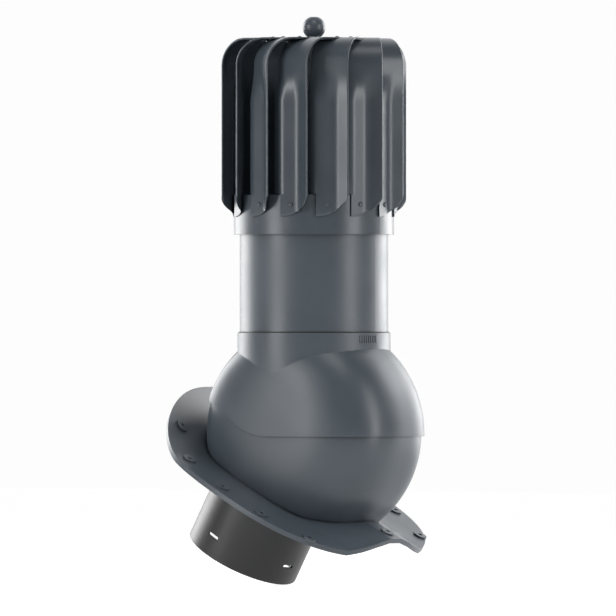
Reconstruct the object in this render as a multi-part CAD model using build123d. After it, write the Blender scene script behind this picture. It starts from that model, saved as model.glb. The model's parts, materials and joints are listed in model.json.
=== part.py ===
from build123d import *
import math
import os

# A roof turbine ventilator: a tile-shaped flashing with the lower half of a swivel hood, an upper
# hood that tilts on it until the riser stands upright, a riser pipe, and a bladed turbine on ball
# bearings.  Everything is modelled around the point where the riser axis crosses the swivel axis
# and is moved at export, so that the written parts have their origin where the duct spigot's axis
# meets the seating plane of the flashing.  +Z is up, +X runs down the roof, +Y runs across it.

# ---- driving dimensions (mm, degrees) ----
ROOF_SLOPE = 29.0            # slope of the roof that the rest pose stands on

HOOD_R = 122.5               # greatest radius of the upper hood about the swivel axis
CROWN_R = 102.0              # arc of the hood's crown, seen from down the roof
CROWN_ANGLE = 36.0           # half the angle that the crown arc takes up
SHOULDER_R = 54.0            # tighter arc between the crown and the nearly flat cheek
SHOULDER_ANGLE = 46.0
UPPER_WALL = 2.4
LOWER_WALL = 3.0
HOOD_GAP = 0.8               # air between the two hoods

EDGE_DROP = 3.2              # lower edge of the upper hood, below the swivel axis
EDGE_RISE = 37.7             # how much higher that edge is cut on the uphill side
EDGE_BEND_R = 75.0           # the two arcs of the step between them
EDGE_BEND_ANGLE = 38.0

RISER_R = 80.0               # outer radius of the riser pipe
RISER_WALL = 2.5
RISER_TOP = 231.0            # all heights are above the swivel axis
SOCKET_FIT = 0.1             # radial play of the riser in its socket
SOCKET_WALL = 2.5
SOCKET_DROP = 14.5           # mouth of the socket below the hood's crown
SOCKET_DEPTH = 35.0
SOCKET_LEDGE = 4.0
COLLAR_SKIRT = 19.0          # the socket's outside runs on below the ledge, into the cheeks
RISER_SEAL_HEIGHT = 1.0      # rubber ring in the socket's mouth
SEAL_HEIGHT = 2.0            # rubber ring under the spigot's lip
SEAL_SETBACK = 1.2

SPIGOT_R = 62.5              # duct spigot for 125 mm pipe
SPIGOT_WALL = 2.5
SPIGOT_LENGTH = 91.0         # below the seating plane
SPIGOT_CLEAR = 8.601197      # air between its lip and the lower hood's wall, uphill
SPIGOT_LIP = 8.0             # flange by which it hangs in the flashing
SPIGOT_LIP_THICK = 3.0
SPIGOT_FIT = 0.15
SPIGOT_SHOULDER = 1.5        # step above the seating plane, where a pushed-on pipe stops
SLOT_LENGTH, SLOT_WIDTH = 15.0, 3.5
SLOT_RAISE = 22.0            # slots above the open end of the spigot
SLOT_COUNT = 4
SLOT_TURN = -7.0
SPIGOT_SCREWS = 4
SPIGOT_SCREW_TURN = 45.0
SPIGOT_SCREW_CIRCLE_R = 66.7
SPIGOT_SCREW_R = 1.75
SPIGOT_SCREW_HEAD_R = 3.2
SPIGOT_SCREW_HEAD = 2.0

FLANGE_DROP = 65.5           # top of the flashing below the swivel axis, square to the roof
FLANGE_THICK = 3.0
FLOOR_THICK = 4.0            # floor of the lower hood, around the spigot
RIM_DEPTH = 5.5              # turned-down rim, from the top face to the seating plane
RIM_THICK = 3.0
FLANGE_UPHILL = 145.0        # reach of the flashing from the swivel axis
FLANGE_DOWNHILL = 149.0
FLANGE_HALF_WIDTH = 143.0
FLANGE_CORNER_UP = 2.4       # roundness of the outline: 2 is an ellipse, more is squarer
FLANGE_CORNER_DOWN = 2.5
WAVE_HEIGHT = 19.0           # tile wave in the middle of the downhill edge
WAVE_HALF_WIDTH = 80.0
WAVE_START, WAVE_FULL = 10.0, 75.0
LIFT_START = -55.0           # from here the uphill end turns up
LIFT_RADIUS = 98.0
LIFT_LINE = 30.0             # grid step of the flashing's surface

BOSS_R = 7.5
BOSS_HEIGHT = 1.8
SCREW_HOLE_R = 2.4
BOSS_SPOTS = ((-108.0, 78.0), (-60.0, 114.0), (0.0, 127.0), (58.0, 127.0), (112.0, 105.0))
CREST_BOSS = 135.0           # one more boss on the wave, in the middle

PIVOT_R = 3.0                # stubs of the upper hood, hidden above its lower edge
PIVOT_FIT = 0.05
PIVOT_BOSS_R = 12.0
PIVOT_BOSS_HEIGHT = 4.1626   # of the lower hood's pivot bosses, inside its cheeks
PIVOT_END_PLAY = 0.3
CLASP_R = 9.0                # push-on clasps on the ends of the stubs
CLASP_THICK = 1.6
CLASP_OVERHANG = 1.5

RIM_CUT_UP = 5.0             # where the lower hood's open edge ends, above the roof plane uphill
RIM_CUT_DOWN = 42.0          # and downhill, as angles about the swivel axis

BLADES = 14
LIP_REACH = 14.7             # how far the blades' outer lips stand out from the ring
FIRST_LIP = -60.0            # where the first lip stands, as an angle from +X
BLADE_WIDTH = 42.0
BLADE_ANGLE = 41.0           # between the flat blade and the tangent at its lip
BLADE_THICK = 1.0
HEM_WIDTH, HEM_DEPTH = 2.6, 1.1
FOOT_RISE = 18.9             # lower edge of the blades above the ring's
SLIT_RISE = 1.0              # above the ring's top edge by this much, a blade's edge curls in
CURL_RISE = 74.0             # up to here above the ring's top the section stays the same
FLAT_RISE = 136.0            # and from here up it is flat
BEND_R = 30.0
TAB_LENGTH = 24.0
BLADE_RISE = 169.0           # top of the tabs above the ring's top edge
CREASE_FROM_LIP = 6.4        # angles from the lip to the crease, the curl and the foot's edge
CURL_FROM_LIP = 16.5
FOOT_FROM_LIP = 19.75
CURL_R = 13.0
CURL_ANGLE = 50.0
CURL_STEPS = 3               # flat facets of the curl
CURL_TAIL = 6.0
RIVET_FROM_LIP = 12.0
FOOT_ROUND_WIDTH = 17.0
FOOT_ROUND_HEIGHT = 22.0
TAB_GAP = 0.6                # air between the tab of one blade and the next

RING_GAP = 5.1               # air between the riser and the ring
RING_WALL = 1.2
RING_HEIGHT = 42.3
RING_OVERLAP = 17.3          # how far the ring reaches down over the riser

PLATE_INSET = 48.5           # edge of the top plate inside the blades' lips
PLATE_THICK = 1.2
RIVET_INSET = 5.9            # circle of the tabs' rivets inside the plate's edge
UPPER_RIVET_ANGLE = 11.1     # from a blade's lip to the rivet in its tab
LOWER_RIVET_RISE = 31.8      # rivets of the feet above the ring's lower edge
RIVET_R = 1.6
RIVET_HEAD_R = 2.7
RIVET_HEAD = 1.7
RIVET_TAIL = 0.8
RIVET_FIT = 0.05
SEAT_GAP = 0.03              # air under a flat face that lies on a round one

SHAFT_R = 4.0
BEARING_R = 11.0
BEARING_WIDTH = 7.0
BEARING_BALLS = 7
BALL_R = 1.98
RACE_WALL = 2.0
RACE_FIT = 0.02
BALL_PLAY = 0.04
CAGE_WALL = 0.8
CAGE_HEIGHT = 3.0

HUB_WALL = 4.0
HUB_FLANGE_R = 30.0
HUB_FLANGE_THICK = 3.0
HUB_DEPTH = 58.0
HUB_CAP = 8.0
HUB_STEP = 1.2
HUB_LEDGE = 1.0
HUB_SCREWS = 4
HUB_SCREW_TURN = 30.0
HUB_SCREW_CIRCLE_R = 24.0
HUB_SCREW_R = 2.0
HUB_SCREW_HEAD_R = 3.6
HUB_SCREW_HEAD = 2.2

KNOB_R = 12.3
KNOB_RISE = 23.0             # top of the knob above the tabs
KNOB_ROUND = 0.94            # share of its radius that the knob keeps above its middle
KNOB_NECK_R = 7.0
KNOB_STUD_R = 3.0
KNOB_STUD_LENGTH = 7.0

SPIDER_DROP = 25.0           # middle of the bearing bracket's arms below the riser's top
SPIDER_ARMS = 4
SPIDER_HUB_R = 12.0
SPIDER_HUB_HEIGHT = 22.0
SPIDER_TURN = 12.0
ARM_WIDTH = 12.0
ARM_THICK = 2.5
ARM_HEIGHT = 8.0
SPIDER_BAND = 14.0
SPIDER_WALL = 2.5
SPIDER_RIVET_R = 2.0
NUT_R = 7.5
NUT_HEIGHT = 6.0
SHAFT_COLLAR_R = 8.0
CLIP_R = 7.0
CLIP_THICK = 1.0
CLIP_GROOVE = 0.5

# ---- sizes that follow ----
LOWER_INSET = UPPER_WALL + HOOD_GAP
SOCKET_TOP = HOOD_R - SOCKET_DROP
SOCKET_R = RISER_R + SOCKET_FIT
COLLAR_R = SOCKET_R + SOCKET_WALL
LEDGE_Z = SOCKET_TOP - SOCKET_DEPTH
COLLAR_FOOT = LEDGE_Z - COLLAR_SKIRT
SEATING_DROP = FLANGE_DROP + RIM_DEPTH
SPIGOT_STOP_R = SPIGOT_R + SPIGOT_SHOULDER
GUIDE_R = SPIGOT_STOP_R + SPIGOT_FIT
FLOOR_R = math.sqrt((HOOD_R - LOWER_INSET - LOWER_WALL) ** 2 - FLANGE_DROP**2)
SPIGOT_OFFSET = FLOOR_R - SPIGOT_R - SPIGOT_LIP - SPIGOT_CLEAR   # up the roof, to its axis
RING_R = RISER_R + RING_GAP + RING_WALL
RING_BOTTOM = RISER_TOP - RING_OVERLAP
RING_TOP = RING_BOTTOM + RING_HEIGHT
LIP_R = RING_R + LIP_REACH
PLATE_R = LIP_R - PLATE_INSET
RIVET_CIRCLE_R = PLATE_R - RIVET_INSET
LOWER_RIVET_Z = RING_BOTTOM + LOWER_RIVET_RISE
BLADE_BOTTOM = RING_BOTTOM + FOOT_RISE
FOOT_TOP = RING_TOP + SLIT_RISE
CURLED_TO = RING_TOP + CURL_RISE
FLAT_FROM = RING_TOP + FLAT_RISE
BLADE_TOP = RING_TOP + BLADE_RISE
KNOB_TOP = BLADE_TOP + KNOB_RISE
SPIDER_Z = RISER_TOP - SPIDER_DROP
TAB_BOTTOM = BLADE_TOP - BLADE_THICK
PLATE_BOTTOM = TAB_BOTTOM - PLATE_THICK
FLAT_TOP = BLADE_TOP - BEND_R
BLADE_PITCH = 360.0 / BLADES
HUB_TOP = PLATE_BOTTOM
HUB_BORE_TOP = HUB_TOP - HUB_CAP
HUB_BOTTOM = HUB_TOP - HUB_DEPTH
UPPER_BEARING_Z = HUB_BORE_TOP - BEARING_WIDTH - CLIP_THICK - 2 * HUB_STEP
LOWER_BEARING_Z = HUB_BOTTOM + HUB_STEP
BALL_CIRCLE_R = (SHAFT_R + BEARING_R) / 2

ROOF_NORMAL = Vector(math.sin(math.radians(ROOF_SLOPE)), 0, math.cos(math.radians(ROOF_SLOPE)))
DOWNHILL = Vector(math.cos(math.radians(ROOF_SLOPE)), 0, -math.sin(math.radians(ROOF_SLOPE)))
SWIVEL = ROOF_NORMAL * SEATING_DROP + DOWNHILL * SPIGOT_OFFSET


def to_roof(shape):
    """Turn a shape drawn with +Z square to the roof and +X down it into the model's frame."""
    return shape.rotate(Axis.Y, ROOF_SLOPE)


def tube(outer, inner, bottom, top):
    """A straight tube about +Z."""
    height = top - bottom
    ring = Cylinder(outer, height) - Cylinder(inner, height)
    return Pos(0, 0, (bottom + top) / 2) * ring


def rod(radius, bottom, top):
    """A straight round bar about +Z."""
    return Pos(0, 0, (bottom + top) / 2) * Cylinder(radius, top - bottom)


def around(count, start, shape):
    """Copies of a shape, evenly spaced about +Z."""
    return [Rot(0, 0, start + 360.0 / count * turn) * shape for turn in range(count)]


def revolved(points, axis=Axis.Z):
    """A solid of revolution from (radius, height) corners."""
    return revolve(Plane.XZ * make_face(Polyline(*points, close=True)), axis)


# ---- hoods ----
def hood_blank(inset):
    """The hood's whole form, a solid of revolution about the swivel axis, inset from outside."""
    crown_centre = Vector(0, HOOD_R - CROWN_R)
    bend = math.radians(CROWN_ANGLE)
    run = CROWN_R - SHOULDER_R
    shoulder_centre = crown_centre + Vector(run * math.sin(bend), run * math.cos(bend))
    cheek_angle = 90 - CROWN_ANGLE - SHOULDER_ANGLE
    cheek = math.radians(cheek_angle)
    crown = CenterArc(crown_centre, CROWN_R - inset, 90 - CROWN_ANGLE, 2 * CROWN_ANGLE)
    right = CenterArc(shoulder_centre, SHOULDER_R - inset, cheek_angle, SHOULDER_ANGLE)
    left = mirror(right, Plane.YZ)
    foot = right @ 0
    cheek_r = foot.Y / math.sin(cheek)
    right_cheek = CenterArc((foot.X - cheek_r * math.cos(cheek), 0), cheek_r, 0, cheek_angle)
    left_cheek = mirror(right_cheek, Plane.YZ)
    reach = right_cheek @ 0
    outline = [right_cheek, right, crown, left, left_cheek, Line((-reach.X, 0), reach)]
    return revolve(Plane.YZ * make_face(outline), Axis.Y)


def edge_cutter():
    """What is cut from below the upper hood: flat downhill, stepped up on the uphill side."""
    bend = math.radians(EDGE_BEND_ANGLE)
    run = EDGE_BEND_R * math.sin(bend)
    rise = EDGE_BEND_R * (1 - math.cos(bend))
    slope = EDGE_RISE - 2 * rise
    start = Vector(-EDGE_DROP, -EDGE_DROP)
    first = start + Vector(-run, rise)
    second = first + Vector(-slope / math.tan(bend), slope)
    last = second + Vector(-run, rise)
    far = 2 * HOOD_R
    turn = EDGE_BEND_ANGLE
    lower_arc = CenterArc(start + Vector(0, EDGE_BEND_R), EDGE_BEND_R, -90, -turn)
    upper_arc = CenterArc(last - Vector(0, EDGE_BEND_R), EDGE_BEND_R, 90 - turn, turn)
    outline = [
        Line((far, -EDGE_DROP), start),
        lower_arc,
        Line(lower_arc @ 1, upper_arc @ 0),
        upper_arc,
        Line(upper_arc @ 1, (-far, last.Y)),
        Line((-far, last.Y), (-far, -far)),
        Line((-far, -far), (far, -far)),
        Line((far, -far), (far, -EDGE_DROP)),
    ]
    return extrude(Plane.XZ * make_face(outline), amount=far, both=True)


def cheek_face(inset):
    """How far the hood's cheek lies from the riser axis, at the swivel axis."""
    return hood_blank(inset).bounding_box().max.Y


def boss_face():
    """Inner face of the lower hood's pivot bosses, from the riser axis."""
    return cheek_face(LOWER_INSET + LOWER_WALL) - PIVOT_BOSS_HEIGHT


def make_upper_hood():
    """Upper half of the swivel hood, with the riser's socket and the two pivot stubs."""
    skin = hood_blank(0) + rod(COLLAR_R, COLLAR_FOOT, SOCKET_TOP)
    skin -= hood_blank(UPPER_WALL)
    skin += tube(COLLAR_R, SOCKET_R, LEDGE_Z, SOCKET_TOP)
    skin += tube(COLLAR_R, RISER_R - RISER_WALL, LEDGE_Z - SOCKET_LEDGE, LEDGE_Z)
    skin -= rod(RISER_R - RISER_WALL, LEDGE_Z - SOCKET_LEDGE, HOOD_R + 1)
    skin -= rod(SOCKET_R, LEDGE_Z, HOOD_R + 1)
    skin -= edge_cutter()
    root = cheek_face(UPPER_WALL / 2)
    end = boss_face() - PIVOT_END_PLAY - CLASP_THICK - CLASP_OVERHANG
    stub = Rot(90, 0, 0) * Cylinder(PIVOT_R, root - end)
    for side in (-1, 1):
        skin += Pos(0, side * (root + end) / 2, 0) * stub
    return skin


def make_lower_hood():
    """Lower half of the swivel hood, open at the top, before the flashing is added."""
    skin = hood_blank(LOWER_INSET) - hood_blank(LOWER_INSET + LOWER_WALL)
    inner = cheek_face(LOWER_INSET + LOWER_WALL / 2)
    face = boss_face()
    boss = Rot(90, 0, 0) * Cylinder(PIVOT_BOSS_R, inner - face)
    bore = Rot(90, 0, 0) * Cylinder(PIVOT_R + PIVOT_FIT, 2 * PIVOT_BOSS_R)
    for side in (-1, 1):
        skin += Pos(0, side * (inner + face) / 2, 0) * boss
        skin -= Pos(0, side * inner, 0) * bore
    tilt = (RIM_CUT_DOWN - RIM_CUT_UP) / 2
    height = (HOOD_R - LOWER_INSET) * math.cos(math.radians(90 - (RIM_CUT_UP + RIM_CUT_DOWN) / 2))
    mouth = Pos(0, 0, height + HOOD_R) * Box(4 * HOOD_R, 4 * HOOD_R, 2 * HOOD_R)
    return skin - to_roof(mouth.rotate(Axis.Y, -tilt))


# ---- flashing ----
def smooth(value):
    """A smooth step from 0 to 1."""
    value = min(max(value, 0.0), 1.0)
    return value * value * (3 - 2 * value)


def flange_height(u, v):
    """Top of the flashing above its flat plane, at u down the roof and v across it."""
    across = min(abs(v) / WAVE_HALF_WIDTH, 1.0)
    wave = WAVE_HEIGHT * (0.5 + 0.5 * math.cos(math.pi * across))
    wave *= smooth((u - WAVE_START) / (WAVE_FULL - WAVE_START))
    lift = max(LIFT_START - u, 0.0) ** 2 / (2 * LIFT_RADIUS)
    return wave + lift


def flange_surface():
    """The flashing's top face, wider than its outline."""
    along = [FLANGE_DOWNHILL + LIFT_LINE - LIFT_LINE * step / 2 for step in range(25)]
    across = [LIFT_LINE / 2 * step for step in range(-11, 12)]
    grid = [[Vector(u, v, flange_height(u, v) - FLANGE_DROP) for v in across] for u in along]
    return Face.make_surface_from_array_of_points(grid)


def flange_outline(inset):
    """Outline of the flashing from above: a rounded shield, longer up the roof."""
    half = FLANGE_HALF_WIDTH - inset
    middle = (FLANGE_DOWNHILL - FLANGE_UPHILL) / 2 + SPIGOT_OFFSET
    points = []
    for step in range(48):
        angle = 2 * math.pi * step / 48
        downhill = math.cos(angle) > 0
        power = 2 / (FLANGE_CORNER_DOWN if downhill else FLANGE_CORNER_UP)
        reach = FLANGE_DOWNHILL - middle if downhill else FLANGE_UPHILL + middle
        u = middle + math.copysign(abs(math.cos(angle)) ** power, math.cos(angle)) * (reach - inset)
        v = math.copysign(abs(math.sin(angle)) ** power, math.sin(angle)) * half
        points.append((u, v))
    return make_face(Spline(*points, periodic=True))


def make_flashing():
    """The lower hood in one piece with its tile-shaped flange, rim, screw bosses and spigot seat."""
    floor_z = -FLANGE_DROP - FLOOR_THICK
    deep = Vector(0, 0, -1)
    top = flange_surface()
    outline = Pos(0, 0, -2 * FLANGE_DROP) * extrude(flange_outline(0), amount=2 * FLANGE_DROP)
    core = Pos(0, 0, -2 * FLANGE_DROP) * extrude(flange_outline(RIM_THICK), amount=2 * FLANGE_DROP)
    flange = extrude(top, amount=FLANGE_THICK, dir=deep) & outline
    flange += (extrude(top, amount=RIM_DEPTH, dir=deep) & outline) - core
    spots = [(CREST_BOSS, 0)] + [(u, side * v) for u, v in BOSS_SPOTS for side in (-1, 1)]
    height = BOSS_HEIGHT + FLANGE_THICK / 2
    for u, v in spots:
        flange += boss_place(u, v) * Pos(0, 0, BOSS_HEIGHT - height / 2) * Cylinder(BOSS_R, height)
        flange -= boss_place(u, v) * Cylinder(SCREW_HOLE_R, 4 * FLANGE_THICK)
    inside = hood_blank(LOWER_INSET + LOWER_WALL / 2)
    below = Pos(0, 0, floor_z - HOOD_R) * Box(4 * HOOD_R, 4 * HOOD_R, 2 * HOOD_R)
    slab = Pos(0, 0, floor_z + FLOOR_THICK / 2) * Box(4 * HOOD_R, 4 * HOOD_R, FLOOR_THICK)
    body = make_lower_hood().rotate(Axis.Y, -ROOF_SLOPE) - below
    body += (flange - inside) + (inside & slab)
    guide = tube(GUIDE_R + FLANGE_THICK, SPIGOT_R, -SEATING_DROP, floor_z + 1)
    body += Pos(-SPIGOT_OFFSET, 0, 0) * guide
    body -= Pos(-SPIGOT_OFFSET, 0, 0) * rod(GUIDE_R, -2 * SEATING_DROP, -FLANGE_DROP + 1)
    return to_roof(body)


def boss_place(u, v):
    """Where a screw boss stands on the flashing, square to the surface there."""
    lean_u = math.degrees(math.atan((flange_height(u + 1, v) - flange_height(u - 1, v)) / 2))
    lean_v = math.degrees(math.atan((flange_height(u, v + 1) - flange_height(u, v - 1)) / 2))
    return Pos(u, v, flange_height(u, v) - FLANGE_DROP) * Rot(lean_v, -lean_u, 0)


def make_spigot():
    """Duct spigot that hangs by its lip in the flashing, with slots near its open end."""
    lip_bottom = -FLANGE_DROP + SEAL_HEIGHT
    end = -SEATING_DROP - SPIGOT_LENGTH
    shell = tube(SPIGOT_R, SPIGOT_R - SPIGOT_WALL, end, lip_bottom + SPIGOT_LIP_THICK)
    shell += tube(SPIGOT_STOP_R, SPIGOT_R - SPIGOT_WALL, -SEATING_DROP, lip_bottom)
    lip_r = SPIGOT_R + SPIGOT_LIP
    shell += tube(lip_r, SPIGOT_R - SPIGOT_WALL, lip_bottom, lip_bottom + SPIGOT_LIP_THICK)
    slot = Box(4 * SPIGOT_WALL, SLOT_LENGTH, SLOT_WIDTH)
    slot = fillet(slot.edges().filter_by(Axis.X), SLOT_WIDTH * 0.4)
    cuts = around(SLOT_COUNT, SLOT_TURN, Pos(SPIGOT_R, 0, end + SLOT_RAISE) * slot)
    for cut in cuts + spigot_holes(lip_bottom):
        shell -= cut
    return to_roof(Pos(-SPIGOT_OFFSET, 0, 0) * shell)


def spigot_holes(height):
    """Clearance for the screws through the spigot's lip and its seal."""
    hole = Cylinder(SPIGOT_SCREW_R + RIVET_FIT, 4 * SPIGOT_LIP_THICK)
    return around(SPIGOT_SCREWS, SPIGOT_SCREW_TURN, Pos(SPIGOT_SCREW_CIRCLE_R, 0, height) * hole)


def make_spigot_seal():
    """Flat rubber ring between the spigot's lip and the flashing."""
    ring = tube(SPIGOT_R + SPIGOT_LIP, GUIDE_R, -FLANGE_DROP, -FLANGE_DROP + SEAL_HEIGHT)
    for hole in spigot_holes(-FLANGE_DROP):
        ring -= hole
    return to_roof(Pos(-SPIGOT_OFFSET, 0, 0) * ring)


def make_pivot_clasps():
    """Push-on clasps that keep the upper hood's stubs in the lower hood's bosses."""
    clasp = Cylinder(CLASP_R, CLASP_THICK) - Cylinder(PIVOT_R, 2 * CLASP_THICK)
    clasp = Rot(90, 0, 0) * clasp
    middle = boss_face() - PIVOT_END_PLAY - CLASP_THICK / 2
    return [Pos(0, side * middle, 0) * clasp for side in (-1, 1)]


# ---- riser and bearing bracket ----
def make_riser():
    """Plain riser pipe, standing on the socket's ledge."""
    pipe = tube(RISER_R, RISER_R - RISER_WALL, LEDGE_Z, RISER_TOP)
    for hole in around(SPIDER_ARMS, SPIDER_TURN, spider_rivet(RIVET_FIT)):
        pipe -= hole
    return pipe


def make_riser_seal():
    """Rubber ring that closes the joint between the riser and its socket."""
    return tube(COLLAR_R - SEAL_SETBACK, RISER_R, SOCKET_TOP, SOCKET_TOP + RISER_SEAL_HEIGHT)


def spider_rivet(play):
    """One radial rivet through the riser and the bracket's band, drawn on +X."""
    inner = RISER_R - RISER_WALL - SPIDER_WALL - RIVET_TAIL
    shank = Cylinder(SPIDER_RIVET_R + play, RISER_R - inner)
    shank = Pos((RISER_R + inner) / 2, 0, SPIDER_Z + SPIDER_BAND) * (Rot(0, 90, 0) * shank)
    if play:
        return shank
    head = revolved([(0, 0), (RIVET_HEAD_R, 0), (RIVET_HEAD_R * 0.8, RIVET_HEAD * 0.6), (0, RIVET_HEAD)])
    return shank + Pos(RISER_R, 0, SPIDER_Z + SPIDER_BAND) * (Rot(0, 90, 0) * head)


def make_spider_rivets():
    """Blind rivets that fix the bracket in the riser."""
    return around(SPIDER_ARMS, SPIDER_TURN, spider_rivet(0))


def make_spider():
    """Four-armed bearing bracket: a band inside the riser, ribbed arms and a hub for the shaft."""
    band_r = RISER_R - RISER_WALL
    band = tube(band_r - RACE_FIT, band_r - SPIDER_WALL, SPIDER_Z, RISER_TOP)
    hub_bottom = SPIDER_Z - SPIDER_HUB_HEIGHT / 2
    bracket = band + rod(SPIDER_HUB_R, hub_bottom, hub_bottom + SPIDER_HUB_HEIGHT)
    reach = band_r - SPIDER_WALL / 2
    arm = Box(reach, ARM_WIDTH, ARM_THICK)
    arm += Pos(0, 0, -ARM_HEIGHT / 2) * Box(reach, ARM_THICK, ARM_HEIGHT)
    for piece in around(SPIDER_ARMS, SPIDER_TURN, Pos(reach / 2, 0, SPIDER_Z + ARM_THICK / 2) * arm):
        bracket += piece
    bracket -= rod(SHAFT_R + RACE_FIT, 0, RISER_TOP)
    for hole in around(SPIDER_ARMS, SPIDER_TURN, spider_rivet(RIVET_FIT)):
        bracket -= hole
    return bracket


def make_shaft():
    """Fixed shaft on which the turbine turns, with a collar that stands on the bracket."""
    hub_top = SPIDER_Z + SPIDER_HUB_HEIGHT / 2
    hub_bottom = SPIDER_Z - SPIDER_HUB_HEIGHT / 2
    top = UPPER_BEARING_Z + BEARING_WIDTH + CLIP_THICK + HUB_STEP
    shaft = rod(SHAFT_R, hub_bottom - NUT_HEIGHT - SHAFT_R, top)
    shaft = chamfer(shaft.edges().sort_by(Axis.Z)[-1], SHAFT_R / 5)
    shaft += rod(SHAFT_COLLAR_R, hub_top, hub_top + NUT_HEIGHT / 2)
    shaft += rod(SHAFT_COLLAR_R - 2, LOWER_BEARING_Z - HUB_STEP * 2, LOWER_BEARING_Z)
    groove = UPPER_BEARING_Z + BEARING_WIDTH
    shaft -= tube(SHAFT_R + 1, SHAFT_R - CLIP_GROOVE, groove, groove + CLIP_THICK)
    return shaft


def make_shaft_nut():
    """Hexagon nut that draws the shaft down on the bracket."""
    hub_bottom = SPIDER_Z - SPIDER_HUB_HEIGHT / 2
    nut = extrude(RegularPolygon(NUT_R, 6), amount=NUT_HEIGHT)
    nut -= Cylinder(SHAFT_R + RACE_FIT, 4 * NUT_HEIGHT)
    return Pos(0, 0, hub_bottom - NUT_HEIGHT) * nut


def make_shaft_clip():
    """Snap ring in the shaft's groove, above the upper bearing."""
    ring = Cylinder(CLIP_R, CLIP_THICK) - Cylinder(SHAFT_R - CLIP_GROOVE + RACE_FIT, 4 * CLIP_THICK)
    ring -= Pos(CLIP_R, 0, 0) * Box(2 * CLIP_R, SHAFT_R, 4 * CLIP_THICK)
    return Pos(0, 0, UPPER_BEARING_Z + BEARING_WIDTH + CLIP_THICK / 2) * ring


def make_inner_spacer():
    """Sleeve on the shaft that keeps the two inner races apart."""
    return tube(SHAFT_R + RACE_WALL, SHAFT_R + RACE_FIT, LOWER_BEARING_Z + BEARING_WIDTH, UPPER_BEARING_Z)


# ---- ball bearings ----
def bearing_groove(bottom):
    """The ring-shaped space that the balls run in."""
    play = BALL_R + BALL_PLAY
    return Pos(0, 0, bottom + BEARING_WIDTH / 2) * Torus(BALL_CIRCLE_R, play)


def make_inner_race(bottom):
    """Inner race of one bearing, with its groove."""
    race = tube(SHAFT_R + RACE_WALL, SHAFT_R + RACE_FIT, bottom, bottom + BEARING_WIDTH)
    return race - bearing_groove(bottom)


def make_outer_race(bottom):
    """Outer race of one bearing, with its groove."""
    race = tube(BEARING_R - RACE_FIT, BEARING_R - RACE_WALL, bottom, bottom + BEARING_WIDTH)
    return race - bearing_groove(bottom)


def make_balls(bottom):
    """The balls of one bearing in their pressed cage, which turns at its own speed."""
    middle = bottom + BEARING_WIDTH / 2
    low, half = middle - CAGE_HEIGHT / 2, CAGE_WALL / 2
    cage = tube(BALL_CIRCLE_R + half, BALL_CIRCLE_R - half, low, low + CAGE_HEIGHT)
    for ball in around(BEARING_BALLS, 0, Pos(BALL_CIRCLE_R, 0, middle) * Sphere(BALL_R)):
        cage += ball
    return cage


# ---- turbine ----
def make_hub():
    """Bearing housing under the top plate: a flange, a stepped bore and a closed cap."""
    hub = rod(BEARING_R + HUB_WALL, HUB_BOTTOM, HUB_TOP)
    hub += rod(HUB_FLANGE_R, HUB_TOP - HUB_FLANGE_THICK, HUB_TOP)
    hub -= rod(BEARING_R - HUB_LEDGE, HUB_BOTTOM - 1, HUB_BORE_TOP)
    hub -= rod(BEARING_R, HUB_BOTTOM - 1, LOWER_BEARING_Z + BEARING_WIDTH)
    hub -= rod(BEARING_R, UPPER_BEARING_Z, HUB_BORE_TOP)
    hub -= rod(KNOB_STUD_R + RIVET_FIT, HUB_TOP - KNOB_STUD_LENGTH, HUB_TOP + 1)
    for hole in hub_holes():
        hub -= hole
    return hub


def hub_holes():
    """Clearance for the screws through the top plate and the hub's flange."""
    hole = Cylinder(HUB_SCREW_R + RIVET_FIT, 8 * PLATE_THICK)
    return around(HUB_SCREWS, HUB_SCREW_TURN, Pos(HUB_SCREW_CIRCLE_R, 0, HUB_TOP) * hole)


def make_top_plate():
    """Round plate that the blades' tabs are riveted to."""
    plate = tube(PLATE_R, KNOB_STUD_R + RIVET_FIT, PLATE_BOTTOM, TAB_BOTTOM)
    rivet_place = Pos(RIVET_CIRCLE_R, 0, TAB_BOTTOM) * rivet_hole()
    for hole in hub_holes() + around(BLADES, FIRST_LIP + UPPER_RIVET_ANGLE, rivet_place):
        plate -= hole
    return plate


def rivet_hole():
    """Clearance for a rivet's shank, along +Z."""
    return Cylinder(RIVET_R + RIVET_FIT, 12 * BLADE_THICK)


def rivet(grip):
    """One domed rivet: its head above z = 0, its shank and tail through the grip below."""
    profile = [
        (0, RIVET_HEAD),
        (RIVET_HEAD_R * 0.55, RIVET_HEAD * 0.85),
        (RIVET_HEAD_R * 0.92, RIVET_HEAD * 0.4),
        (RIVET_HEAD_R, 0),
        (RIVET_R, 0),
        (RIVET_R, -grip),
        (RIVET_HEAD_R * 0.8, -grip),
        (RIVET_HEAD_R * 0.6, -grip - RIVET_TAIL),
        (0, -grip - RIVET_TAIL),
    ]
    return revolved(profile)


def make_upper_rivets():
    """Rivets that hold the blades' tabs on the top plate."""
    place = Pos(RIVET_CIRCLE_R, 0, BLADE_TOP) * rivet(BLADE_THICK + PLATE_THICK)
    return around(BLADES, FIRST_LIP + UPPER_RIVET_ANGLE, place)


def lower_rivet_place():
    """Where a blade's foot is riveted to the ring, square to both."""
    return Pos(RING_R + SEAT_GAP + BLADE_THICK, 0, LOWER_RIVET_Z) * Rot(0, 90, 0)


def make_lower_rivets():
    """Rivets that hold the blades' feet on the ring."""
    place = lower_rivet_place() * rivet(BLADE_THICK + RING_WALL + 3 * SEAT_GAP)
    return around(BLADES, FIRST_LIP - RIVET_FROM_LIP, place)


def make_ring():
    """Rolled ring that carries the feet of the blades and turns around the top of the riser."""
    ring = tube(RING_R, RING_R - RING_WALL, RING_BOTTOM, RING_TOP)
    for hole in around(BLADES, FIRST_LIP - RIVET_FROM_LIP, lower_rivet_place() * rivet_hole()):
        ring -= hole
    return ring


def polar(radius, angle):
    """A point in plan from its radius and its angle."""
    return Vector(radius * math.cos(math.radians(angle)), radius * math.sin(math.radians(angle)))


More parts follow.
